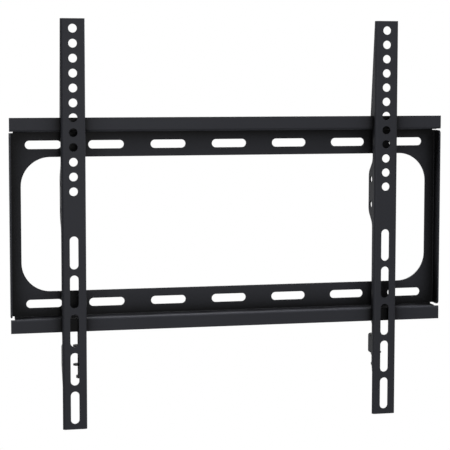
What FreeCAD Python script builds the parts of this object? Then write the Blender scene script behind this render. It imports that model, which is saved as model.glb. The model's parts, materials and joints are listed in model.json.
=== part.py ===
"""Low-profile fixed wall mount for a flat television, in millimetres.

A folded sheet-steel plate is screwed to the wall. Two folded channels, the arms, are bolted to the
back of the television and hang over the plate's top lip. A long screw in the lower end of each arm
reaches up behind the bottom lip, so that the television can't be lifted off.

Frame: X to the viewer's right, Y into the wall, Z up. The origin is the middle of the plate's back.
"""
import FreeCAD
import Part
import Sketcher
import math
import os
import re

# Driving sizes, one cell of the sheet each.
SIZES = {
    # Wall plate: overall size, folds and openings
    "plate_width": 460.0,
    "plate_height": 220.0,
    "plate_depth": 15.0,
    "plate_sheet": 1.6,
    "lip_height": 14.5,
    "rail_height": 26.1,
    "side_strip": 12.0,
    "window_radius": 30.0,
    "notch_width": 4.3,
    "notch_gap": 0.2,
    "notch_slit": 1.7,
    "side_corner_radius": 4.0,
    "wall_slot_pitch": 65.0,
    "wall_slot_length": 37.0,
    "wall_slot_height": 8.6,
    "wall_slot_rise": 12.6,
    "wall_slot_margin": 14.0,
    # Arms: channel, flanges and the hook over the top lip
    "arm_spacing": 332.0,
    "arm_width": 25.0,
    "arm_length": 420.0,
    "arm_above_hook": 100.0,
    "arm_sheet": 1.6,
    "bend_radius": 1.0,
    "flange_depth": 7.5,
    "flange_top_depth": 4.0,
    "flange_foot_depth": 3.0,
    "lip_gap": 0.2,
    "hook_gap": 0.6,
    "hook_width": 5.4,
    "hook_drop": 2.9,
    "hook_bevel": 1.8,
    # Arms: the deep stretch of both flanges beside the window
    "belly_depth": 19.5,
    "belly_drop": 48.0,
    "belly_ramp": 12.4,
    "belly_length": 66.5,
    "belly_radius": 11.0,
    "tie_hole_diameter": 7.5,
    "tie_hole_depth": 12.5,
    "tie_hole_spacing": 27.0,
    # Arms: bolt holes and slots for the television
    "bolt_hole_diameter": 8.8,
    "bolt_hole_pitch": 15.0,
    "bolt_hole_margin": 10.0,
    "bolt_hole_count": 12,
    "bolt_slot_travel": 25.0,
    "bolt_slot_pitch": 40.0,
    "bolt_slot_start": 237.5,
    "bolt_slot_margin": 5.0,
    # Arms: lower end, with the two ears that hold the safety screw
    "throat_depth": 5.4,
    "throat_ramp": 3.0,
    "ear_drop": 14.6,
    "ear_length": 13.0,
    "ear_width": 8.0,
    "ear_bevel": 2.5,
    "ear_span": 21.3,
    "ear_relief": 1.6,
    "relief_margin": 0.1,
    "tab_rise": 2.2,
    "tab_fall": 0.9,
    "tab_depth": 16.9,
    "guard_depth": 15.0,
    "guard_drop": 11.5,
    "guard_length": 23.5,
    "guard_ramp": 4.0,
    "shank_drop": 31.4,
    "fade_length": 9.0,
    "throat_radius": 2.0,
    # Safety screws
    "screw_diameter": 5.0,
    "screw_length": 50.0,
    "screw_inset": 6.2,
    "screw_clearance": 0.1,
    "screw_head_diameter": 8.0,
    "screw_head_height": 3.0,
    "screw_head_chamfer": 1.0,
    "screw_head_gap": 10.5,
    "recess_width": 1.2,
    "recess_length": 4.6,
    "recess_depth": 1.6,
}

# Places on the wall plate, as formulas of the driving sizes.
SHELF_UNDERSIDE = "(plate_height / 2 - lip_height)"
SHELF_TOP = f"({SHELF_UNDERSIDE} + plate_sheet)"
LIP_BACK = "(plate_sheet - plate_depth)"
SIDE_END = f"({SHELF_UNDERSIDE} - bend_radius - notch_gap)"
LIP_END = f"({SIDE_END} + notch_slit)"
WINDOW_EDGE = f"({SHELF_UNDERSIDE} - rail_height)"
WALL_SLOT_ROW = f"({WINDOW_EDGE} + wall_slot_rise)"
OUTER_BEND = "(bend_radius + plate_sheet)"

# Places on an arm. Its own frame has Y = 0 on the front and Z = 0 on the edge that the hook rests on.
ARM_FRONT = "(-plate_depth - lip_gap - flange_depth)"
ARM_TOP = "arm_above_hook"
ARM_FOOT = "(arm_above_hook - arm_length)"
HOOK_FRONT = "(flange_depth + lip_gap + plate_sheet + hook_gap)"
HOOK_BACK = f"({HOOK_FRONT} + hook_width)"
HOOK_TIP = "(plate_sheet + hook_drop - lip_height)"
BELLY_MIDDLE = "(-belly_drop - belly_length / 2)"
LOWER_LIP_EDGE = "(-plate_height)"
EAR_TOP = f"({LOWER_LIP_EDGE} - ear_drop)"
EAR_BOTTOM = f"({EAR_TOP} - ear_span)"
EAR_FRONT = "(tab_depth - ear_width)"
EAR_BEND = "(bend_radius + arm_sheet)"
RELIEF_TOP = f"({EAR_TOP} - {EAR_BEND} - relief_margin)"
RELIEF_BOTTOM = f"({EAR_BOTTOM} + {EAR_BEND} + relief_margin)"
GUARD_TOP = f"({LOWER_LIP_EDGE} - guard_drop)"
GUARD_BOTTOM = f"({GUARD_TOP} - guard_length)"
SHANK_END = f"({EAR_TOP} - shank_drop)"
SCREW_DEPTH = "(tab_depth - ear_width / 2)"
SCREW_SEAT = f"({EAR_BOTTOM} - screw_head_gap)"

EDGE_TOLERANCE = 0.001

doc = FreeCAD.newDocument("tv_mount")


def make_sheet():
    """Write every driving size to its own aliased cell."""
    sizes = doc.addObject("Spreadsheet::Sheet", "Sizes")
    for row, (alias, size) in enumerate(SIZES.items(), start=1):
        sizes.set(f"A{row}", alias)
        sizes.set(f"B{row}", str(size))
        sizes.setAlias(f"B{row}", alias)
    doc.recompute()
    return sizes


sheet = make_sheet()


def bound(formula):
    """Point every size name in a formula at its cell."""
    return re.sub(r"[a-z]\w*", r"Sizes.\g<0>", formula)


def value(formula):
    """Work out a formula of the driving sizes."""
    return float(sheet.evalExpression(formula))


# Sketch helpers: every corner, centre and radius is tied to the sheet.

def new_sketch(body, name, plane, offset=None):
    """Start a sketch on one of the body's own origin planes, moved along its normal by a formula."""
    sketch = body.newObject("Sketcher::SketchObject", name)
    support = next(item for item in body.Origin.OriginFeatures if item.Role == plane)
    sketch.AttachmentSupport = [(support, "")]
    sketch.MapMode = "FlatFace"
    if offset:
        sketch.setExpression("AttachmentOffset.Base.z", bound(offset))
    return sketch


def tie(sketch, kind, formula, *items):
    """Add one dimension whose value follows a formula."""
    index = sketch.addConstraint(Sketcher.Constraint(kind, *items, value(formula)))
    sketch.setExpression(f"Constraints[{index}]", bound(formula))


def pin(sketch, geometry, point, across, up):
    """Fix a point of the sketch at two formulas, or on an axis where the formula is zero."""
    for kind, axis, formula in (("DistanceX", -2, across), ("DistanceY", -1, up)):
        if formula == "0":
            sketch.addConstraint(Sketcher.Constraint("PointOnObject", geometry, point, axis))
        else:
            tie(sketch, kind, formula, -1, 1, geometry, point)


def draw_outline(sketch, corners):
    """Draw a closed outline of straight lines through corners given as pairs of formulas."""
    points = [FreeCAD.Vector(value(across), value(up), 0) for across, up in corners]
    first = sketch.GeometryCount
    last = first + len(points) - 1
    for start, end in zip(points, points[1:] + points[:1]):
        sketch.addGeometry(Part.LineSegment(start, end), False)
    for line in range(first, last + 1):
        following = first if line == last else line + 1
        sketch.addConstraint(Sketcher.Constraint("Coincident", line, 2, following, 1))
    for line, (across, up) in enumerate(corners, start=first):
        pin(sketch, line, 1, across, up)


def draw_box(sketch, left, right, bottom, top):
    """Draw an upright rectangle between four formulas."""
    draw_outline(sketch, [(left, bottom), (right, bottom), (right, top), (left, top)])


def draw_circle(sketch, across, up, diameter):
    """Draw a circle with its centre and diameter tied to formulas."""
    centre = FreeCAD.Vector(value(across), value(up), 0)
    circle = sketch.addGeometry(Part.Circle(centre, FreeCAD.Vector(0, 0, 1), value(diameter) / 2), False)
    pin(sketch, circle, 3, across, up)
    tie(sketch, "Diameter", diameter, circle)


def draw_slot(sketch, across, up, travel, width, upright):
    """Draw a round-ended slot. Travel is the distance between the centres of its two ends."""
    run = f"({travel}) / 2"
    middle = FreeCAD.Vector(value(across), value(up), 0)
    along = FreeCAD.Vector(0, 1, 0) if upright else FreeCAD.Vector(1, 0, 0)
    side = FreeCAD.Vector(-along.y, along.x, 0)
    turn = math.atan2(along.y, along.x)
    radius = value(width) / 2
    far = middle + along * value(run)
    near = middle - along * value(run)
    axis = FreeCAD.Vector(0, 0, 1)
    quarter = math.pi / 2
    far_end = Part.ArcOfCircle(Part.Circle(far, axis, radius), turn - quarter, turn + quarter)
    near_end = Part.ArcOfCircle(Part.Circle(near, axis, radius), turn + quarter, turn + 3 * quarter)
    left_side = Part.LineSegment(far + side * radius, near + side * radius)
    right_side = Part.LineSegment(near - side * radius, far - side * radius)
    cap, upper, base, lower = sketch.addGeometry([far_end, left_side, near_end, right_side], False)
    # Each curve's end, its point 2, runs smoothly into the start of the next, its point 1.
    for first, second in ((cap, upper), (upper, base), (base, lower), (lower, cap)):
        sketch.addConstraint(Sketcher.Constraint("Tangent", first, 2, second, 1))
    for arc, sign in ((cap, "+"), (base, "-")):
        if upright:
            pin(sketch, arc, 3, across, f"({up}) {sign} {run}")
        else:
            pin(sketch, arc, 3, f"({across}) {sign} {run}", up)
    tie(sketch, "Diameter", width, cap)


# Feature helpers.

def new_body(name):
    """Start a named piece."""
    body = doc.addObject("PartDesign::Body", name)
    body.Label = name
    return body


def finish(body, feature):
    """Make a new feature the body's result and check that it came out whole."""
    body.Tip = feature
    doc.recompute()
    if not feature.isValid() or feature.Shape.isNull() or not feature.Shape.isValid():
        raise RuntimeError(f"{body.Label}: {feature.Name} failed")
    return feature


def pad(body, sketch, length, symmetric=False, backwards=False):
    """Raise a sketch into sheet or solid."""
    feature = body.newObject("PartDesign::Pad", f"{sketch.Name}_pad")
    feature.Profile = sketch
    feature.setExpression("Length", bound(length))
    feature.SideType = "Symmetric" if symmetric else "One side"
    feature.Reversed = backwards
    return finish(body, feature)


def cut(body, sketch, depth=None):
    """Cut a sketch through the body both ways, or to a depth along its normal, and check that it cut."""
    before = body.Shape.Volume
    feature = body.newObject("PartDesign::Pocket", f"{sketch.Name}_cut")
    feature.Profile = sketch
    if depth:
        feature.Reversed = True
        feature.setExpression("Length", bound(depth))
    else:
        feature.Type = "ThroughAll"
        feature.SideType = "Symmetric"
    finish(body, feature)
    if body.Shape.Volume >= before:
        raise RuntimeError(f"{body.Label}: {sketch.Name} cuts nothing")
    return feature


def repeat(body, feature, axis, spacing, count, backwards=False):
    """Repeat a cut in a row along one of the body's axes."""
    if count < 2:
        return feature
    pattern = body.newObject("PartDesign::LinearPattern", f"{feature.Name}_row")
    pattern.Originals = [feature]
    line = next(item for item in body.Origin.OriginFeatures if item.Role == axis)
    pattern.Direction = (line, [""])
    pattern.Reversed = backwards
    pattern.Occurrences = count
    pattern.setExpression("Length", bound(f"{spacing} * {count - 1}"))
    return finish(body, pattern)


def straight_edges(body, name, direction, places):
    """Find the straight edges along X, Y or Z that stand at the given places in the other two axes."""
    along = "XYZ".index(direction)
    across = [axis for axis in range(3) if axis != along]
    spots = [[value(formula) for formula in place] for place in places]
    names = []
    for number, edge in enumerate(body.Tip.Shape.Edges, start=1):
        ends = [vertex.Point for vertex in edge.Vertexes]
        is_straight = edge.Curve.TypeId == "Part::GeomLine"
        for spot in spots:
            misses = [abs(end[axis] - level) for end in ends for axis, level in zip(across, spot)]
            if is_straight and max(misses) < EDGE_TOLERANCE:
                names.append(f"Edge{number}")
    if len(names) < len(places):
        raise RuntimeError(f"{body.Label}: {name} found {len(names)} edges")
    return (body.Tip, names)


def round_edges(body, name, radius, direction, places):
    """Round the straight edges at the given places."""
    edges = straight_edges(body, name, direction, places)
    feature = body.newObject("PartDesign::Fillet", name)
    feature.Base = edges
    feature.setExpression("Radius", bound(radius))
    return finish(body, feature)


def bevel_edges(body, name, size, direction, places):
    """Cut the straight edges at the given places off at 45 degrees."""
    edges = straight_edges(body, name, direction, places)
    feature = body.newObject("PartDesign::Chamfer", name)
    feature.Base = edges
    feature.setExpression("Size", bound(size))
    return finish(body, feature)


# Wall plate.

def mirrored(*levels):
    """Every mix of plus and minus of the given formulas."""
    places = [()]
    for level in levels:
        places = [place + (f"{sign}{level}",) for place in places for sign in ("", "-")]
    return places


def make_wall_plate():
    """Fold the plate: panel, two shelves with their lips, two side flanges, then its openings."""
    body = new_body("wall_plate")

    section = new_sketch(body, "rail_section", "YZ_Plane")
    upper_fold = [
        ("-plate_depth", SHELF_UNDERSIDE),
        ("-plate_depth", "plate_height / 2"),
        (LIP_BACK, "plate_height / 2"),
        (LIP_BACK, SHELF_TOP),
        ("0", SHELF_TOP),
    ]
    lower_fold = [(depth, f"-({level})") for depth, level in reversed(upper_fold)]
    front = [("-plate_sheet", f"-{SHELF_UNDERSIDE}"), ("-plate_sheet", SHELF_UNDERSIDE)]
    draw_outline(section, upper_fold + lower_fold + front)
    pad(body, section, "plate_width", symmetric=True)

    inner_folds = [(LIP_BACK, level) for (level,) in mirrored(SHELF_TOP)]
    inner_folds += [("-plate_sheet", level) for (level,) in mirrored(SHELF_UNDERSIDE)]
    round_edges(body, "rail_inner_bends", "bend_radius", "X", inner_folds)
    outer_folds = [("-plate_depth", level) for (level,) in mirrored(SHELF_UNDERSIDE)]
    outer_folds += [("0", level) for (level,) in mirrored(SHELF_TOP)]
    round_edges(body, "rail_outer_bends", OUTER_BEND, "X", outer_folds)

    slits = new_sketch(body, "lip_slits", "XZ_Plane")
    notches = new_sketch(body, "shelf_notches", "XZ_Plane")
    for side, end in mirrored("1", "1"):
        inner = f"{side} * (plate_width / 2 - notch_width)"
        outer = f"{side} * (plate_width / 2 + notch_width)"
        draw_box(slits, inner, outer, f"{end} * {SIDE_END}", f"{end} * {LIP_END}")
        draw_box(notches, inner, outer, f"{end} * {SIDE_END}", f"{end} * ({SHELF_TOP} + bend_radius)")
    cut(body, slits)
    cut(body, notches, "plate_depth - plate_sheet")

    sides = new_sketch(body, "side_flanges", "XY_Plane")
    for (side,) in mirrored("1"):
        inner = f"{side} * (plate_width / 2 - plate_sheet)"
        draw_box(sides, inner, f"{side} * plate_width / 2", "-plate_depth", "0")
    pad(body, sides, f"2 * {SIDE_END}", symmetric=True)
    side_roots = [(side, "-plate_sheet") for (side,) in mirrored("(plate_width / 2 - plate_sheet)")]
    round_edges(body, "side_inner_bends", "bend_radius", "Z", side_roots)
    side_backs = [(side, "0") for (side,) in mirrored("(plate_width / 2)")]
    round_edges(body, "side_outer_bends", OUTER_BEND, "Z", side_backs)
    side_corners = [("-plate_depth", level) for (level,) in mirrored(SIDE_END)]
    round_edges(body, "side_corners", "side_corner_radius", "X", side_corners)

    window = new_sketch(body, "window", "XZ_Plane")
    window_side = "(plate_width / 2 - side_strip)"
    draw_box(window, f"-{window_side}", window_side, f"-{WINDOW_EDGE}", WINDOW_EDGE)
    cut(body, window)
    round_edges(body, "window_corners", "window_radius", "Y", mirrored(window_side, WINDOW_EDGE))

    reach = value("plate_width / 2 - wall_slot_margin - wall_slot_length / 2")
    slots_each_side = int(reach / value("wall_slot_pitch"))
    slots = new_sketch(body, "wall_slots", "XZ_Plane")
    for (row,) in mirrored(WALL_SLOT_ROW):
        first = f"-{slots_each_side} * wall_slot_pitch"
        draw_slot(slots, first, row, "wall_slot_length - wall_slot_height", "wall_slot_height", False)
    repeat(body, cut(body, slots), "X_Axis", "wall_slot_pitch", 2 * slots_each_side + 1)
    return body


# Arms.

def upper_flange():
    """The outline that both flanges share: taper, hook, straight edge and belly, from the top down."""
    ramp_end = "(-belly_drop - belly_ramp)"
    ramp_back = "(belly_ramp - belly_drop - belly_length)"
    return [
        ("0", ARM_TOP),
        ("flange_top_depth", ARM_TOP),
        (HOOK_BACK, "0"),
        (HOOK_BACK, HOOK_TIP),
        (HOOK_FRONT, HOOK_TIP),
        (HOOK_FRONT, "0"),
        ("flange_depth", "0"),
        ("flange_depth", "-belly_drop"),
        ("belly_depth", ramp_end),
        ("belly_depth", ramp_back),
        ("flange_depth", "(-belly_drop - belly_length)"),
        ("flange_depth", LOWER_LIP_EDGE),
        ("throat_depth", f"({LOWER_LIP_EDGE} - throat_ramp)"),
    ]


def flange_foot(fade_start):
    """The end of both outlines: the flange fades to a narrow edge and runs to the foot."""
    return [
        ("throat_depth", fade_start),
        ("flange_foot_depth", f"({fade_start} - fade_length)"),
        ("flange_foot_depth", ARM_FOOT),
        ("0", ARM_FOOT),
    ]


def inner_flange():
    """The flange towards the middle of the mount, with the root of the tab that carries the ears."""
    tab_root = [
        ("throat_depth", f"({EAR_TOP} + tab_rise)"),
        (f"({EAR_FRONT} - ear_relief)", EAR_TOP),
        (f"({EAR_FRONT} - ear_relief)", RELIEF_TOP),
        (SCREW_DEPTH, RELIEF_TOP),
        (SCREW_DEPTH, RELIEF_BOTTOM),
        (f"({EAR_FRONT} - ear_relief)", RELIEF_BOTTOM),
        (f"({EAR_FRONT} - ear_relief)", EAR_BOTTOM),
        ("throat_depth", f"({EAR_BOTTOM} - tab_fall)"),
    ]
    return upper_flange() + tab_root + flange_foot(SHANK_END)


def outer_flange():
    """The flange away from the middle, with a shallow guard beside the ears."""
    guard = [
        ("throat_depth", GUARD_TOP),
        ("guard_depth", f"({GUARD_TOP} - guard_ramp)"),
        ("guard_depth", f"({GUARD_BOTTOM})"),
        ("flange_foot_depth", f"({SHANK_END} - fade_length)"),
        ("flange_foot_depth", ARM_FOOT),
        ("0", ARM_FOOT),
    ]
    return upper_flange() + guard


def pierce_web(body):
    """Punch the row of bolt holes and, below it, the row of upright slots."""
    hole = new_sketch(body, "bolt_hole", "XZ_Plane")
    draw_circle(hole, "0", f"{ARM_TOP} - bolt_hole_margin", "bolt_hole_diameter")
    holes = int(value("bolt_hole_count"))
    repeat(body, cut(body, hole), "Z_Axis", "bolt_hole_pitch", holes, backwards=True)

    slot = new_sketch(body, "bolt_slot", "XZ_Plane")
    draw_slot(slot, "0", f"{ARM_TOP} - bolt_slot_start", "bolt_slot_travel", "bolt_hole_diameter", True)
    half_slot = value("(bolt_slot_travel + bolt_hole_diameter) / 2")
    room = value("arm_length - bolt_slot_start - bolt_slot_margin") - half_slot
    slots = int(room / value("bolt_slot_pitch")) + 1
    repeat(body, cut(body, slot), "Z_Axis", "bolt_slot_pitch", slots, backwards=True)


def fold_ears(body, side):
    """Fold the two ears from the inner flange's tab across the channel and bore them for the screw."""
    ears = new_sketch(body, "ears", "XZ_Plane", f"-{EAR_FRONT}")
    outer = f"{-side} * arm_width / 2"
    inner = f"{-side} * (arm_width / 2 - arm_sheet)"
    reach = f"{-side} * (arm_width / 2 - ear_length)"
    lower_face = f"({EAR_TOP} - arm_sheet)"
    upper_face = f"({EAR_BOTTOM} + arm_sheet)"
    draw_outline(ears, [
        (outer, EAR_TOP), (reach, EAR_TOP), (reach, lower_face), (inner, lower_face),
        (inner, upper_face), (reach, upper_face), (reach, EAR_BOTTOM), (outer, EAR_BOTTOM),
    ])
    pad(body, ears, "ear_width", backwards=True)
    round_edges(body, "ear_inner_bends", "bend_radius", "Y", [(inner, lower_face), (inner, upper_face)])
    round_edges(body, "ear_outer_bends", EAR_BEND, "Y", [(outer, EAR_TOP), (outer, EAR_BOTTOM)])
    bevel_edges(body, "ear_ends", "ear_bevel", "Z", [(reach, EAR_FRONT), (reach, "tab_depth")])

    screw_holes = new_sketch(body, "screw_holes", "XY_Plane")
    screw_across = f"{-side} * (arm_width / 2 - screw_inset)"
    draw_circle(screw_holes, screw_across, SCREW_DEPTH, "screw_diameter + 2 * screw_clearance")
    cut(body, screw_holes)


def make_arm(name, side):
    """Fold one arm. Side is 1 for the right arm and -1 for the left; its ears face the middle plane."""
    body = new_body(name)
    body.setExpression("Placement.Base.x", bound(f"{side} * arm_spacing / 2"))
    body.setExpression("Placement.Base.y", bound(ARM_FRONT))
    body.setExpression("Placement.Base.z", bound("plate_height / 2"))

    web = new_sketch(body, "web", "XZ_Plane")
    draw_box(web, "-arm_width / 2", "arm_width / 2", ARM_FOOT, ARM_TOP)
    pad(body, web, "arm_sheet", backwards=True)
    pierce_web(body)

    left_face = "-arm_width / 2"
    right_face = "(arm_width / 2 - arm_sheet)"
    starts = {"inner_flange": left_face, "outer_flange": right_face}
    if side < 0:
        starts = {"inner_flange": right_face, "outer_flange": left_face}
    for flange, corners in (("inner_flange", inner_flange()), ("outer_flange", outer_flange())):
        outline = new_sketch(body, flange, "YZ_Plane", starts[flange])
        draw_outline(outline, corners)
        pad(body, outline, "arm_sheet")

    inner_bends = [(face, "arm_sheet") for (face,) in mirrored("(arm_width / 2 - arm_sheet)")]
    round_edges(body, "channel_inner_bends", "bend_radius", "Z", inner_bends)
    outer_bends = [(face, "0") for (face,) in mirrored("(arm_width / 2)")]
    round_edges(body, "channel_outer_bends", EAR_BEND, "Z", outer_bends)

    shared = upper_flange()
    hook_tips = shared[3:5]
    belly_corners = shared[7:11]
    throat = shared[11:13]
    bevel_edges(body, "hook_tips", "hook_bevel", "X", hook_tips)
    round_edges(body, "belly_curves", "belly_radius", "X", belly_corners)
    round_edges(body, "throat_curves", "throat_radius", "X", throat)
    guard_corners = outer_flange()[14:16]
    round_edges(body, "guard_curves", "throat_radius", "X", guard_corners)

    ties = new_sketch(body, "tie_holes", "YZ_Plane")
    for (step,) in mirrored("tie_hole_spacing"):
        draw_circle(ties, "tie_hole_depth", f"{BELLY_MIDDLE} + {step} / 2", "tie_hole_diameter")
    cut(body, ties)

    fold_ears(body, side)
    return body


# Safety screws.

def make_safety_screw(name, side):
    """Turn one screw, head down, with its shank up through both ears of its arm."""
    body = new_body(name)
    body.setExpression("Placement.Base.x", bound(f"{side} * (arm_spacing / 2 - arm_width / 2 + screw_inset)"))
    body.setExpression("Placement.Base.y", bound(f"{ARM_FRONT} + {SCREW_DEPTH}"))
    body.setExpression("Placement.Base.z", bound(f"plate_height / 2 + {SCREW_SEAT}"))

    profile = new_sketch(body, "turned_profile", "XZ_Plane")
    draw_outline(profile, [
        ("0", "-screw_head_height"),
        ("screw_head_diameter / 2 - screw_head_chamfer", "-screw_head_height"),
        ("screw_head_diameter / 2", "screw_head_chamfer - screw_head_height"),
        ("screw_head_diameter / 2", "0"),
        ("screw_diameter / 2", "0"),
        ("screw_diameter / 2", "screw_length"),
        ("0", "screw_length"),
    ])
    turned = body.newObject("PartDesign::Revolution", "turned_body")
    turned.Profile = profile
    turned.ReferenceAxis = (profile, ["V_Axis"])
    turned.Angle = 360
    finish(body, turned)

    recess = new_sketch(body, "cross_recess", "XY_Plane", "-screw_head_height")
    long_half = "recess_length / 2"
    arm_half = "recess_width / 2"
    draw_outline(recess, [
        (f"-{long_half}", f"-{arm_half}"), (f"-{arm_half}", f"-{arm_half}"),
        (f"-{arm_half}", f"-{long_half}"), (arm_half, f"-{long_half}"),
        (arm_half, f"-{arm_half}"), (long_half, f"-{arm_half}"),
        (long_half, arm_half), (arm_half, arm_half),
        (arm_half, long_half), (f"-{arm_half}", long_half),
        (f"-{arm_half}", arm_half), (f"-{long_half}", arm_half),
    ])
    cut(body, recess, "recess_depth")
    return body


def write_parts(bodies):
    """Check the whole document, then write one file for each piece."""
    doc.recompute()
    for item in doc.Objects:
        if "Invalid" in item.State or "Error" in item.State:
            raise RuntimeError(f"{item.Label}: {item.State}")
    for body in bodies:
        shape = body.Shape
        if shape.isNull() or not shape.isValid() or len(shape.Solids) != 1:
            raise RuntimeError(f"{body.Label}: not one whole solid")
    os.makedirs("parts", exist_ok=True)
    for body in bodies:
        body.Shape.exportStep(os.path.join("parts", f"{body.Label}.step"))
        print(f"{body.Label}: {body.Shape.Volume:.0f} mm3")


pieces = [make_wall_plate()]
for hand, side in (("left", -1), ("right", 1)):
    pieces.append(make_arm(f"{hand}_arm", side))
    pieces.append(make_safety_screw(f"{hand}_safety_screw", side))
write_parts(pieces)
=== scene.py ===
"""Studio picture of a low-profile fixed television wall mount.

The folded plate and the two folded arms are finished as powder-coated sheet with softly broken edges, and the
two safety screws get their thread, rounded head and cross recess. Every skin has shade painted into its colour
in corners and under other pieces. Everything stays in the frame of the solids: metres, X to the viewer's
right,
Y into the wall, Z up, origin in the middle of the plate's back.
"""
import json
import logging
import math
from dataclasses import dataclass, field
from enum import Enum
from typing import Callable

import bmesh
import bpy
from mathutils import Matrix, Vector

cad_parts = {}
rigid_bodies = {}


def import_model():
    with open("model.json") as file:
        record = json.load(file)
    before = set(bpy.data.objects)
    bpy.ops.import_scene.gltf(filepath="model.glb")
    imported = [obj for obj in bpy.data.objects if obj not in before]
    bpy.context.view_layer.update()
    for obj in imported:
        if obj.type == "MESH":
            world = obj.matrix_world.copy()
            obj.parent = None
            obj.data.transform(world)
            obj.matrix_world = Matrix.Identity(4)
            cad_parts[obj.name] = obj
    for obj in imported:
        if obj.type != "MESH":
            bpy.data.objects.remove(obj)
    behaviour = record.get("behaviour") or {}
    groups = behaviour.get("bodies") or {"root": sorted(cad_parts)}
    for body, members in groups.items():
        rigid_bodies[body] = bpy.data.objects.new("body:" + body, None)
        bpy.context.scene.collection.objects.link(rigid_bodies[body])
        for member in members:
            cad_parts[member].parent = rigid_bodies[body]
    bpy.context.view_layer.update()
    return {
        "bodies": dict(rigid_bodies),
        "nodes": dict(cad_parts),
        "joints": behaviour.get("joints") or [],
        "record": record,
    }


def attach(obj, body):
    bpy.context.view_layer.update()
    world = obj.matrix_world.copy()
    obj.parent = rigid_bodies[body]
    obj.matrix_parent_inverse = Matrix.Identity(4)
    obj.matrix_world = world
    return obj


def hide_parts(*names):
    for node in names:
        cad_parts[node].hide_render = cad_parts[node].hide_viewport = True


LOG = logging.getLogger("tv_mount")
BODY = "root"
WHITE = (1.0, 1.0, 1.0, 1.0)


class Side(Enum):
    """The two arms' places, as the sign of X."""

    LEFT = -1
    RIGHT = 1

    @property
    def word(self) -> str:
        """The side's name as it stands in the node names."""
        return self.name.lower()


class Sheen(Enum):
    """How the coat scatters light: (roughness, specular level)."""

    SATIN = (0.5, 0.06)
    BROKEN_EDGE = (0.45, 0.10)
    PLATED = (0.34, 0.50)


def only(piece: bpy.types.Object) -> bpy.types.Object:
    """Deselect everything, then select one piece and make it active.

    Args:
        piece: The object to work on.

    Returns:
        The same object.
    """
    for other in bpy.context.selected_objects:
        other.select_set(False)
    piece.select_set(True)
    bpy.context.view_layer.objects.active = piece
    return piece


def pick(piece: bpy.types.Object, kind: str, test: Callable) -> int:
    """Select the faces, edges or vertices of a piece in edit mode that pass a test.

    Args:
        piece: The object, in edit mode.
        kind: "FACE", "EDGE" or "VERT".
        test: Takes a mesh element and says whether it is wanted.

    Returns:
        How many were selected.
    """
    bpy.ops.mesh.select_all(action="DESELECT")
    bpy.ops.mesh.select_mode(type=kind)
    mesh = bmesh.from_edit_mesh(piece.data)
    groups = {"FACE": mesh.faces, "EDGE": mesh.edges, "VERT": mesh.verts}
    chosen = [element for element in groups[kind] if test(element)]
    for element in chosen:
        element.select_set(True)
    mesh.select_flush_mode()
    bmesh.update_edit_mesh(piece.data)
    return len(chosen)


def apply_modifier(piece: bpy.types.Object, kind: str, **settings: object) -> None:
    """Add one modifier to a piece, set it up and apply it.

    Args:
        piece: The object to change.
        kind: The modifier's type.
        **settings: Its properties.
    """
    only(piece)
    modifier = piece.modifiers.new(kind.lower(), kind)
    for name, setting in settings.items():
        setattr(modifier, name, setting)
    bpy.ops.object.modifier_apply(modifier=modifier.name)


def settle(piece: bpy.types.Object) -> bpy.types.Object:
    """Put a piece's place, turn and size into its mesh, so that its object sits at the origin.

    Args:
        piece: The object to settle.

    Returns:
        The same object.
    """
    only(piece)
    bpy.ops.object.transform_apply(location=True, rotation=True, scale=True)
    return piece


def add_math(
    nodes: bpy.types.Nodes, operation: str, second: float | None = None, third: float | None = None
) -> bpy.types.Node:
    """Add one Math node.

    Args:
        nodes: The nodes that it joins.
        operation: What it works out.
        second: What its second input holds, unless that is linked.
        third: The same for its third input.

    Returns:
        The node.
    """
    node = nodes.new("ShaderNodeMath")
    node.operation = operation
    for place, value in ((1, second), (2, third)):
        if value is not None:
            node.inputs[place].default_value = value
    return node


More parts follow.
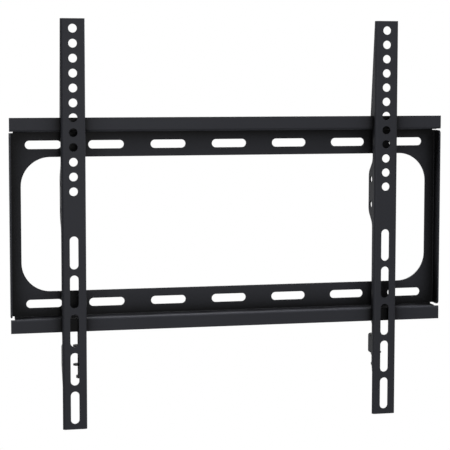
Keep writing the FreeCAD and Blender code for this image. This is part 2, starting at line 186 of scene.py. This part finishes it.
class CoatTexture:
    """The fine grain of a baked powder or plated skin, as one shared node group."""

    GROUP = "coat_texture"
    GRAIN_DETAIL = 3.0
    GRAIN_ROUGHNESS = 0.55
    PEEL_SMOOTHNESS = 0.7
    PEEL_SCALE = 0.45
    PEEL_HEIGHT = 0.6
    CLOUD_DETAIL = 2.0
    NOISE_MIDDLE = 0.5

    @classmethod
    def group(cls) -> bpy.types.NodeTree:
        """Build the node group once.

        Returns:
            The group, with a grain size, a clouding size and a strength going in, and a height, a tone and a
            roughness shift coming out.
        """
        existing = bpy.data.node_groups.get(cls.GROUP)
        if existing:
            return existing
        tree = bpy.data.node_groups.new(cls.GROUP, "ShaderNodeTree")
        face = tree.interface
        for name in ("Grain", "Clouding", "Strength"):
            face.new_socket(name, in_out="INPUT", socket_type="NodeSocketFloat")
        for name in ("Height", "Tone", "Roughness Shift"):
            face.new_socket(name, in_out="OUTPUT", socket_type="NodeSocketFloat")
        nodes = tree.nodes
        links = tree.links
        entry = nodes.new("NodeGroupInput")
        leave = nodes.new("NodeGroupOutput")
        place = nodes.new("ShaderNodeTexCoord")

        grain = nodes.new("ShaderNodeTexNoise")
        grain.inputs["Detail"].default_value = cls.GRAIN_DETAIL
        grain.inputs["Roughness"].default_value = cls.GRAIN_ROUGHNESS
        links.new(place.outputs["Object"], grain.inputs["Vector"])
        links.new(entry.outputs["Grain"], grain.inputs["Scale"])

        peel = nodes.new("ShaderNodeTexVoronoi")
        peel.feature = "SMOOTH_F1"
        peel.inputs["Smoothness"].default_value = cls.PEEL_SMOOTHNESS
        coarser = add_math(nodes, "MULTIPLY", second=cls.PEEL_SCALE)
        links.new(entry.outputs["Grain"], coarser.inputs[0])
        links.new(place.outputs["Object"], peel.inputs["Vector"])
        links.new(coarser.outputs["Value"], peel.inputs["Scale"])

        height = add_math(nodes, "MULTIPLY_ADD", second=cls.PEEL_HEIGHT)
        links.new(peel.outputs["Distance"], height.inputs[0])
        links.new(grain.outputs["Fac"], height.inputs[2])
        links.new(height.outputs["Value"], leave.inputs["Height"])

        clouds = nodes.new("ShaderNodeTexNoise")
        clouds.inputs["Detail"].default_value = cls.CLOUD_DETAIL
        links.new(place.outputs["Object"], clouds.inputs["Vector"])
        links.new(entry.outputs["Clouding"], clouds.inputs["Scale"])
        centred = add_math(nodes, "SUBTRACT", second=cls.NOISE_MIDDLE)
        links.new(clouds.outputs["Fac"], centred.inputs[0])
        tone = add_math(nodes, "MULTIPLY_ADD", third=1.0)
        links.new(centred.outputs["Value"], tone.inputs[0])
        links.new(entry.outputs["Strength"], tone.inputs[1])
        links.new(tone.outputs["Value"], leave.inputs["Tone"])

        speckle = add_math(nodes, "SUBTRACT", second=cls.NOISE_MIDDLE)
        links.new(grain.outputs["Fac"], speckle.inputs[0])
        shift = add_math(nodes, "MULTIPLY")
        links.new(speckle.outputs["Value"], shift.inputs[0])
        links.new(entry.outputs["Strength"], shift.inputs[1])
        links.new(shift.outputs["Value"], leave.inputs["Roughness Shift"])
        return tree


@dataclass(frozen=True)
class Finish:
    """One skin of the mount: its colour, sheen, grain and the shade painted into its colour in recesses."""

    name: str
    slot: str
    colour: tuple[float, float, float]
    sheen: Sheen
    metallic: float = 0.0
    grain: float = 900.0
    clouding: float = 14.0
    strength: float = 0.12
    relief: float = 0.00003
    relief_strength: float = 0.35
    # Painted shade: these recess settings darken the colour by ambient occlusion in corners and under other
    # pieces.
    painted_shade_samples: int = 8
    painted_shade_reach: float = 0.03
    recess_span: tuple[float, float] = (0.62, 1.0)
    painted_shade_tone: float = 0.05

    def painted_recess_shade(self, nodes: bpy.types.Nodes, links: bpy.types.NodeLinks) -> bpy.types.NodeSocket:
        """Paint shade into the skin's colour, by ambient occlusion, where the metal folds back on itself or
        another piece covers it.

        Args:
            nodes: The nodes of the material.
            links: Its links.

        Returns:
            A socket that is 1 in the open and falls to the painted shade tone deep in a corner.
        """
        cover = nodes.new("ShaderNodeAmbientOcclusion")
        cover.samples = self.painted_shade_samples
        cover.inputs["Distance"].default_value = self.painted_shade_reach
        fade = nodes.new("ShaderNodeMapRange")
        fade.inputs["From Min"].default_value, fade.inputs["From Max"].default_value = self.recess_span
        fade.inputs["To Min"].default_value = self.painted_shade_tone
        links.new(cover.outputs["AO"], fade.inputs["Value"])
        return fade.outputs["Result"]

    def material(self) -> bpy.types.Material:
        """Make the skin's material once.

        Returns:
            The material.
        """
        existing = bpy.data.materials.get(self.name)
        if existing:
            return existing
        roughness, specular = self.sheen.value
        material = bpy.data.materials.new(self.name)
        material.use_nodes = True
        nodes = material.node_tree.nodes
        links = material.node_tree.links
        skin = nodes["Principled BSDF"]
        skin.inputs["Metallic"].default_value = self.metallic
        skin.inputs["Specular IOR Level"].default_value = specular

        texture = nodes.new("ShaderNodeGroup")
        texture.node_tree = CoatTexture.group()
        texture.inputs["Grain"].default_value = self.grain
        texture.inputs["Clouding"].default_value = self.clouding
        texture.inputs["Strength"].default_value = self.strength

        colour = nodes.new("ShaderNodeMix")
        colour.data_type = "RGBA"
        colour.blend_type = "MULTIPLY"
        colour.inputs["Factor"].default_value = 1.0
        colour.inputs["A"].default_value = (*self.colour, 1.0)
        # Painted shade: the coat's tone is multiplied by the occlusion darkening before it goes into the base
        # colour.
        shade = add_math(nodes, "MULTIPLY")
        links.new(texture.outputs["Tone"], shade.inputs[0])
        links.new(self.painted_recess_shade(nodes, links), shade.inputs[1])
        links.new(shade.outputs["Value"], colour.inputs["B"])
        links.new(colour.outputs["Result"], skin.inputs["Base Color"])

        rough = add_math(nodes, "ADD", second=roughness)
        links.new(texture.outputs["Roughness Shift"], rough.inputs[0])
        links.new(rough.outputs["Value"], skin.inputs["Roughness"])

        bump = nodes.new("ShaderNodeBump")
        bump.inputs["Strength"].default_value = self.relief_strength
        bump.inputs["Distance"].default_value = self.relief
        links.new(texture.outputs["Height"], bump.inputs["Height"])
        links.new(bump.outputs["Normal"], skin.inputs["Normal"])
        return material


# Every finish below has shade painted into its colour in corners and under other pieces.
POWDER_COAT = Finish("black_powder_coat", "powder_coat", (0.0286, 0.0296, 0.0350), Sheen.SATIN)
COAT_EDGE = Finish("black_powder_coat_edge", "powder_coat", (0.0306, 0.0316, 0.0370), Sheen.BROKEN_EDGE)
BLACK_ZINC = Finish(
    "black_zinc", "black_zinc", (0.035, 0.035, 0.038), Sheen.PLATED,
    metallic=0.6, grain=1600.0, relief=0.00001,
)


@dataclass
class FoldedSheet:
    """One folded and coated sheet, finished from its solid: merged, with its cut edges softly broken."""

    node: str
    edge_break: float = 0.00026
    edge_steps: int = 2
    edge_angle: float = math.radians(38.0)
    weld: float = 0.000002
    flat_angle: float = math.radians(0.6)
    flat_weight: int = 60

    def shape(self, solid: bpy.types.Object) -> bpy.types.Object:
        """Copy the solid's mesh, merge its triangles into flats and break the cut edges.

        Args:
            solid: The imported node.

        Returns:
            The finished sheet.
        """
        piece = bpy.data.objects.new(f"{self.node}_coated", solid.data.copy())
        bpy.context.scene.collection.objects.link(piece)
        piece.data.materials.clear()
        piece.data.materials.append(POWDER_COAT.material())
        piece.data.materials.append(COAT_EDGE.material())
        for face in piece.data.polygons:
            face.material_index = 0
        only(piece)
        bpy.ops.object.mode_set(mode="EDIT")
        bpy.ops.mesh.select_all(action="SELECT")
        bpy.ops.mesh.remove_doubles(threshold=self.weld)
        bpy.ops.mesh.dissolve_limited(angle_limit=self.flat_angle)
        bpy.ops.object.mode_set(mode="OBJECT")
        apply_modifier(
            piece, "BEVEL", width=self.edge_break, segments=self.edge_steps, limit_method="ANGLE",
            angle_limit=self.edge_angle, miter_outer="MITER_ARC", use_clamp_overlap=True, material=1,
        )
        only(piece)
        bpy.ops.object.shade_smooth_by_angle(angle=self.edge_angle)
        apply_modifier(piece, "WEIGHTED_NORMAL", keep_sharp=True, weight=self.flat_weight)
        return piece

    def build(self, frame: dict) -> bpy.types.Object:
        """Finish the sheet and let it stand for its solid.


        Returns:
            The finished sheet.
        """
        piece = self.shape(frame["nodes"][self.node])
        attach(piece, BODY)
        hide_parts(self.node)
        return piece


@dataclass
class SafetyScrew:
    """A long machine screw, head down: turned head with a cross recess, threaded shank and tapered tip."""

    side: Side
    across: float = 0.1597
    depth: float = -0.0098
    seat: float = -0.1564
    length: float = 0.050
    radius: float = 0.0025
    root: float = 0.00204
    pitch: float = 0.0008
    head_radius: float = 0.0040
    head_height: float = 0.0030
    head_sides: int = 56
    head_round: float = 0.0011
    head_round_steps: int = 6
    seat_break: float = 0.00015
    seat_break_steps: int = 2
    bury: float = 0.0002
    lead: float = 2.36
    tip: float = 0.0008
    tip_share: float = 0.7
    recess_arm: float = 0.0012
    recess_span: float = 0.0046
    recess_depth: float = 0.0016
    recess_floor_share: float = 0.6
    flank: tuple[tuple[float, float], ...] = ((1.0, 0.38), (0.0, 0.16), (-1.0, 0.38), (0.0, 0.08))
    seed: float = 0.001
    steps: int = 20
    weld: float = 0.000002
    on_level: float = 0.0000005
    smooth_angle: float = math.radians(40.0)
    axis: Vector = field(init=False)

    def __post_init__(self) -> None:
        """Work out the place of the head's underside."""
        self.axis = Vector((self.side.value * self.across, self.depth, self.seat))

    def is_level(self, element: bmesh.types.BMEdge | bmesh.types.BMFace, level: float) -> bool:
        """Say whether an edge or face lies flat at a height."""
        return all(abs(vertex.co.z - level) < self.on_level for vertex in element.verts)

    def head(self) -> bpy.types.Object:
        """Turn the head, round its lower rim and sink the cross recess.

        Returns:
            The head.
        """
        bpy.ops.object.select_all(action="DESELECT")
        middle = self.axis - Vector((0.0, 0.0, self.head_height / 2))
        bpy.ops.mesh.primitive_cylinder_add(
            vertices=self.head_sides, radius=self.head_radius, depth=self.head_height, location=middle
        )
        head = settle(bpy.context.object)
        bottom = self.seat - self.head_height
        bpy.ops.object.mode_set(mode="EDIT")
        pick(head, "EDGE", lambda edge: self.is_level(edge, bottom))
        bpy.ops.mesh.bevel(offset=self.head_round, segments=self.head_round_steps, affect="EDGES")
        pick(head, "EDGE", lambda edge: self.is_level(edge, self.seat))
        bpy.ops.mesh.bevel(offset=self.seat_break, segments=self.seat_break_steps, affect="EDGES")
        bpy.ops.object.mode_set(mode="OBJECT")
        for turn in (0.0, math.pi / 2):
            self.sink(head, self.recess_wing(turn))
        return head

    def recess_wing(self, turn: float) -> bpy.types.Object:
        """Shape one wing of the driver's cross, tapered towards its floor.

        Args:
            turn: Its angle about the screw's axis.

        Returns:
            The wing, to be cut out of the head.
        """
        bpy.ops.object.select_all(action="DESELECT")
        floor = self.seat - self.head_height + self.recess_depth
        below = self.seat - self.head_height - self.recess_depth
        middle = Vector((self.axis.x, self.axis.y, (floor + below) / 2))
        bpy.ops.mesh.primitive_cube_add(size=1.0, location=middle)
        wing = bpy.context.object
        wing.scale = (self.recess_span, self.recess_arm, floor - below)
        wing.rotation_euler = (0.0, 0.0, turn)
        settle(wing)
        bpy.ops.object.mode_set(mode="EDIT")
        pick(wing, "FACE", lambda face: self.is_level(face, floor))
        bpy.ops.transform.resize(
            value=(self.recess_floor_share, self.recess_floor_share, 1.0),
            center_override=(middle.x, middle.y, floor),
        )
        bpy.ops.object.mode_set(mode="OBJECT")
        return wing

    def sink(self, head: bpy.types.Object, wing: bpy.types.Object) -> None:
        """Cut one wing out of the head and throw the cutter away.

        Args:
            head: The turned head.
            wing: One wing of the cross.
        """
        apply_modifier(head, "BOOLEAN", operation="DIFFERENCE", solver="EXACT", object=wing)
        bpy.data.objects.remove(wing, do_unlink=True)

    def shank(self) -> bpy.types.Object:
        """Draw one turn of the thread, wind it up the shank, trim both ends and taper the tip.

        Returns:
            The threaded shank, closed at both ends.
        """
        bpy.ops.object.select_all(action="DESELECT")
        start = Vector((self.root, 0.0, -self.lead * self.pitch))
        bpy.ops.mesh.primitive_plane_add(size=self.seed, location=start)
        shank = settle(bpy.context.object)
        bpy.ops.object.mode_set(mode="EDIT")
        bpy.ops.mesh.select_mode(type="VERT")
        bpy.ops.mesh.select_all(action="SELECT")
        bpy.ops.mesh.merge(type="CENTER")
        rise = self.radius - self.root
        for out, up in self.flank:
            step = (out * rise, 0.0, up * self.pitch)
            bpy.ops.mesh.extrude_vertices_move(TRANSFORM_OT_translate={"value": step})
        bpy.ops.object.mode_set(mode="OBJECT")
        turns = math.ceil(self.length / self.pitch + 2 * self.lead)
        apply_modifier(
            shank, "SCREW", axis="Z", angle=2 * math.pi, screw_offset=self.pitch, iterations=turns,
            steps=self.steps, render_steps=self.steps,
        )
        shank.location = self.axis
        settle(shank)
        bpy.ops.object.mode_set(mode="EDIT")
        bpy.ops.mesh.select_all(action="SELECT")
        bpy.ops.mesh.remove_doubles(threshold=self.weld)
        bpy.ops.mesh.normals_make_consistent(inside=False)
        bpy.ops.object.mode_set(mode="OBJECT")
        self.trim(shank, self.seat - self.bury, -1.0)
        self.trim(shank, self.seat + self.length - self.tip, 1.0)
        self.taper(shank)
        return shank

    def trim(self, shank: bpy.types.Object, level: float, outwards: float) -> None:
        """Cut the thread off level and close the cut.

        Args:
            shank: The wound thread.
            level: The height of the cut.
            outwards: 1 to throw away what is above it, -1 for what is below.
        """
        only(shank)
        bpy.ops.object.mode_set(mode="EDIT")
        bpy.ops.mesh.select_all(action="SELECT")
        bpy.ops.mesh.bisect(
            plane_co=(self.axis.x, self.axis.y, level), plane_no=(0.0, 0.0, outwards),
            clear_outer=True, threshold=self.on_level,
        )
        pick(shank, "EDGE", lambda edge: edge.is_boundary and self.is_level(edge, level))
        bpy.ops.mesh.edge_face_add()
        bpy.ops.object.mode_set(mode="OBJECT")

    def taper(self, shank: bpy.types.Object) -> None:
        """Draw the upper end out into a short cone.

        Args:
            shank: The trimmed thread.
        """
        only(shank)
        top = self.seat + self.length
        end = top - self.tip
        bpy.ops.object.mode_set(mode="EDIT")
        pick(shank, "FACE", lambda face: self.is_level(face, end))
        bpy.ops.mesh.extrude_region_move(TRANSFORM_OT_translate={"value": (0.0, 0.0, self.tip)})
        bpy.ops.transform.resize(
            value=(self.tip_share, self.tip_share, 1.0), center_override=(self.axis.x, self.axis.y, top)
        )
        bpy.ops.mesh.select_all(action="SELECT")
        bpy.ops.mesh.normals_make_consistent(inside=False)
        bpy.ops.object.mode_set(mode="OBJECT")

    def build(self) -> bpy.types.Object:
        """Join head and shank and let them stand for the plain solid.

        Returns:
            The finished screw.
        """
        head = self.head()
        shank = self.shank()
        only(head)
        shank.select_set(True)
        bpy.ops.object.join()
        screw = bpy.context.object
        screw.name = f"{self.side.word}_safety_screw_threaded"
        screw.data.name = screw.name
        screw.data.materials.clear()
        screw.data.materials.append(BLACK_ZINC.material())
        only(screw)
        bpy.ops.object.shade_smooth_by_angle(angle=self.smooth_angle)
        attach(screw, BODY)
        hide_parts(f"{self.side.word}_safety_screw")
        return screw


@dataclass
class PhotoCamera:
    """The camera at the photograph's viewpoint, for a square picture."""

    place: tuple[float, float, float] = (-0.29098, -1.30198, 0.14153)
    turn: float = 0.18847
    dip: float = 0.07024
    roll: float = -0.00101
    focal_share: float = 2.81536
    sensor: float = 36.0
    shift_side: float = 0.08
    shift_up: float = -0.11
    nearest: float = 0.01
    farthest: float = 50.0

    def build(self) -> bpy.types.Object:
        """Make the camera and hand it to the scene.

        Returns:
            The camera.
        """
        ahead = Vector((
            math.sin(self.turn) * math.cos(self.dip),
            math.cos(self.turn) * math.cos(self.dip),
            -math.sin(self.dip),
        ))
        level = Vector((math.cos(self.turn), -math.sin(self.turn), 0.0))
        upright = level.cross(ahead)
        right = level * math.cos(self.roll) + upright * math.sin(self.roll)
        above = upright * math.cos(self.roll) - level * math.sin(self.roll)
        data = bpy.data.cameras.new("photo_camera")
        data.sensor_width = self.sensor
        data.lens = self.focal_share * self.sensor
        data.shift_x = self.shift_side
        data.shift_y = self.shift_up
        data.clip_start = self.nearest
        data.clip_end = self.farthest
        camera = bpy.data.objects.new("photo_camera", data)
        bpy.context.scene.collection.objects.link(camera)
        axes = Matrix((right, above, -ahead)).transposed()
        camera.matrix_world = Matrix.Translation(Vector(self.place)) @ axes.to_4x4()
        bpy.context.scene.camera = camera
        return camera


@dataclass(frozen=True)
class SoftBox:
    """One large soft lamp, aimed at the middle of the mount."""

    name: str
    place: tuple[float, float, float]
    size: tuple[float, float]
    power: float

    def build(self) -> bpy.types.Object:
        """Hang the lamp.

        Returns:
            The lamp.
        """
        data = bpy.data.lights.new(self.name, "AREA")
        data.shape = "RECTANGLE"
        data.size, data.size_y = self.size
        data.energy = self.power
        lamp = bpy.data.objects.new(self.name, data)
        bpy.context.scene.collection.objects.link(lamp)
        lamp.location = self.place
        lamp.rotation_euler = (-Vector(self.place)).to_track_quat("-Z", "Y").to_euler()
        return lamp


@dataclass
class Studio:
    """A white room: pale floor well below the mount, white surroundings and soft lamps."""

    floor_level: float = -2.2
    floor_size: float = 9.0
    floor_paint: tuple[float, float, float] = (0.86, 0.86, 0.86)
    floor_roughness: float = 0.9
    ambient: float = 0.17
    lamps: tuple[SoftBox, ...] = (
        SoftBox("front_softbox", (-0.05, -1.75, 0.0), (0.5, 0.5), 10.8),
        SoftBox("side_softbox", (2.6, -3.6, 1.0), (1.4, 1.4), 10.0),
        SoftBox("top_softbox", (0.1, -0.03, 1.3), (0.5, 0.12), 52.0),
        SoftBox("back_softbox", (0.7, 2.2, 0.9), (1.2, 1.2), 18.0),
    )

    def white_to_the_eye(self, nodes: bpy.types.Nodes, links: bpy.types.NodeLinks) -> bpy.types.NodeSocket:
        """Say which rays see the plain white surroundings.

        Args:
            nodes: The nodes of the material or world.
            links: Its links.

        Returns:
            A socket that is 1 for camera, glossy and transmission rays.
        """
        path = nodes.new("ShaderNodeLightPath")
        total = path.outputs["Is Camera Ray"]
        for name in ("Is Glossy Ray", "Is Transmission Ray"):
            either = add_math(nodes, "MAXIMUM")
            links.new(total, either.inputs[0])
            links.new(path.outputs[name], either.inputs[1])
            total = either.outputs["Value"]
        return total

    def surroundings(self) -> None:
        """White to the eye and in reflections, and dimmer as light."""
        world = bpy.data.worlds.new("white_room")
        world.use_nodes = True
        bpy.context.scene.world = world
        nodes = world.node_tree.nodes
        links = world.node_tree.links
        back = nodes["Background"]
        back.inputs["Color"].default_value = WHITE
        strength = nodes.new("ShaderNodeMapRange")
        strength.inputs["To Min"].default_value = self.ambient
        strength.inputs["To Max"].default_value = 1.0
        links.new(self.white_to_the_eye(nodes, links), strength.inputs["Value"])
        links.new(strength.outputs["Result"], back.inputs["Strength"])

    def floor(self) -> bpy.types.Object:
        """Lay the pale floor.

        Returns:
            The floor.
        """
        bpy.ops.object.select_all(action="DESELECT")
        bpy.ops.mesh.primitive_plane_add(size=self.floor_size, location=(0.0, 0.0, self.floor_level))
        floor = settle(bpy.context.object)
        floor.name = "floor"
        material = bpy.data.materials.new("pale_floor")
        material.use_nodes = True
        nodes = material.node_tree.nodes
        links = material.node_tree.links
        paint = nodes["Principled BSDF"]
        paint.inputs["Base Color"].default_value = (*self.floor_paint, 1.0)
        paint.inputs["Roughness"].default_value = self.floor_roughness
        glow = nodes.new("ShaderNodeEmission")
        glow.inputs["Color"].default_value = WHITE
        glow.inputs["Strength"].default_value = 1.0
        blend = nodes.new("ShaderNodeMixShader")
        links.new(self.white_to_the_eye(nodes, links), blend.inputs["Fac"])
        links.new(paint.outputs["BSDF"], blend.inputs[1])
        links.new(glow.outputs["Emission"], blend.inputs[2])
        links.new(blend.outputs["Shader"], nodes["Material Output"].inputs["Surface"])
        floor.data.materials.append(material)
        return floor

    def build(self) -> None:
        """Set up floor, surroundings and lamps."""
        self.surroundings()
        self.floor()
        for lamp in self.lamps:
            lamp.build()


def main() -> None:
    """Load the solids, finish each piece and set up the picture."""
    logging.basicConfig(level=logging.INFO, format="%(name)s: %(message)s")
    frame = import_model()
    bpy.context.scene.view_settings.view_transform = "Standard"
    PhotoCamera().build()
    for node in ("wall_plate", "left_arm", "right_arm"):
        sheet = FoldedSheet(node).build(frame)
        LOG.info("%s: %d faces", sheet.name, len(sheet.data.polygons))
    for side in Side:
        screw = SafetyScrew(side).build()
        LOG.info("%s: %d faces", screw.name, len(screw.data.polygons))
    Studio().build()


if __name__ == "__main__":
    main()
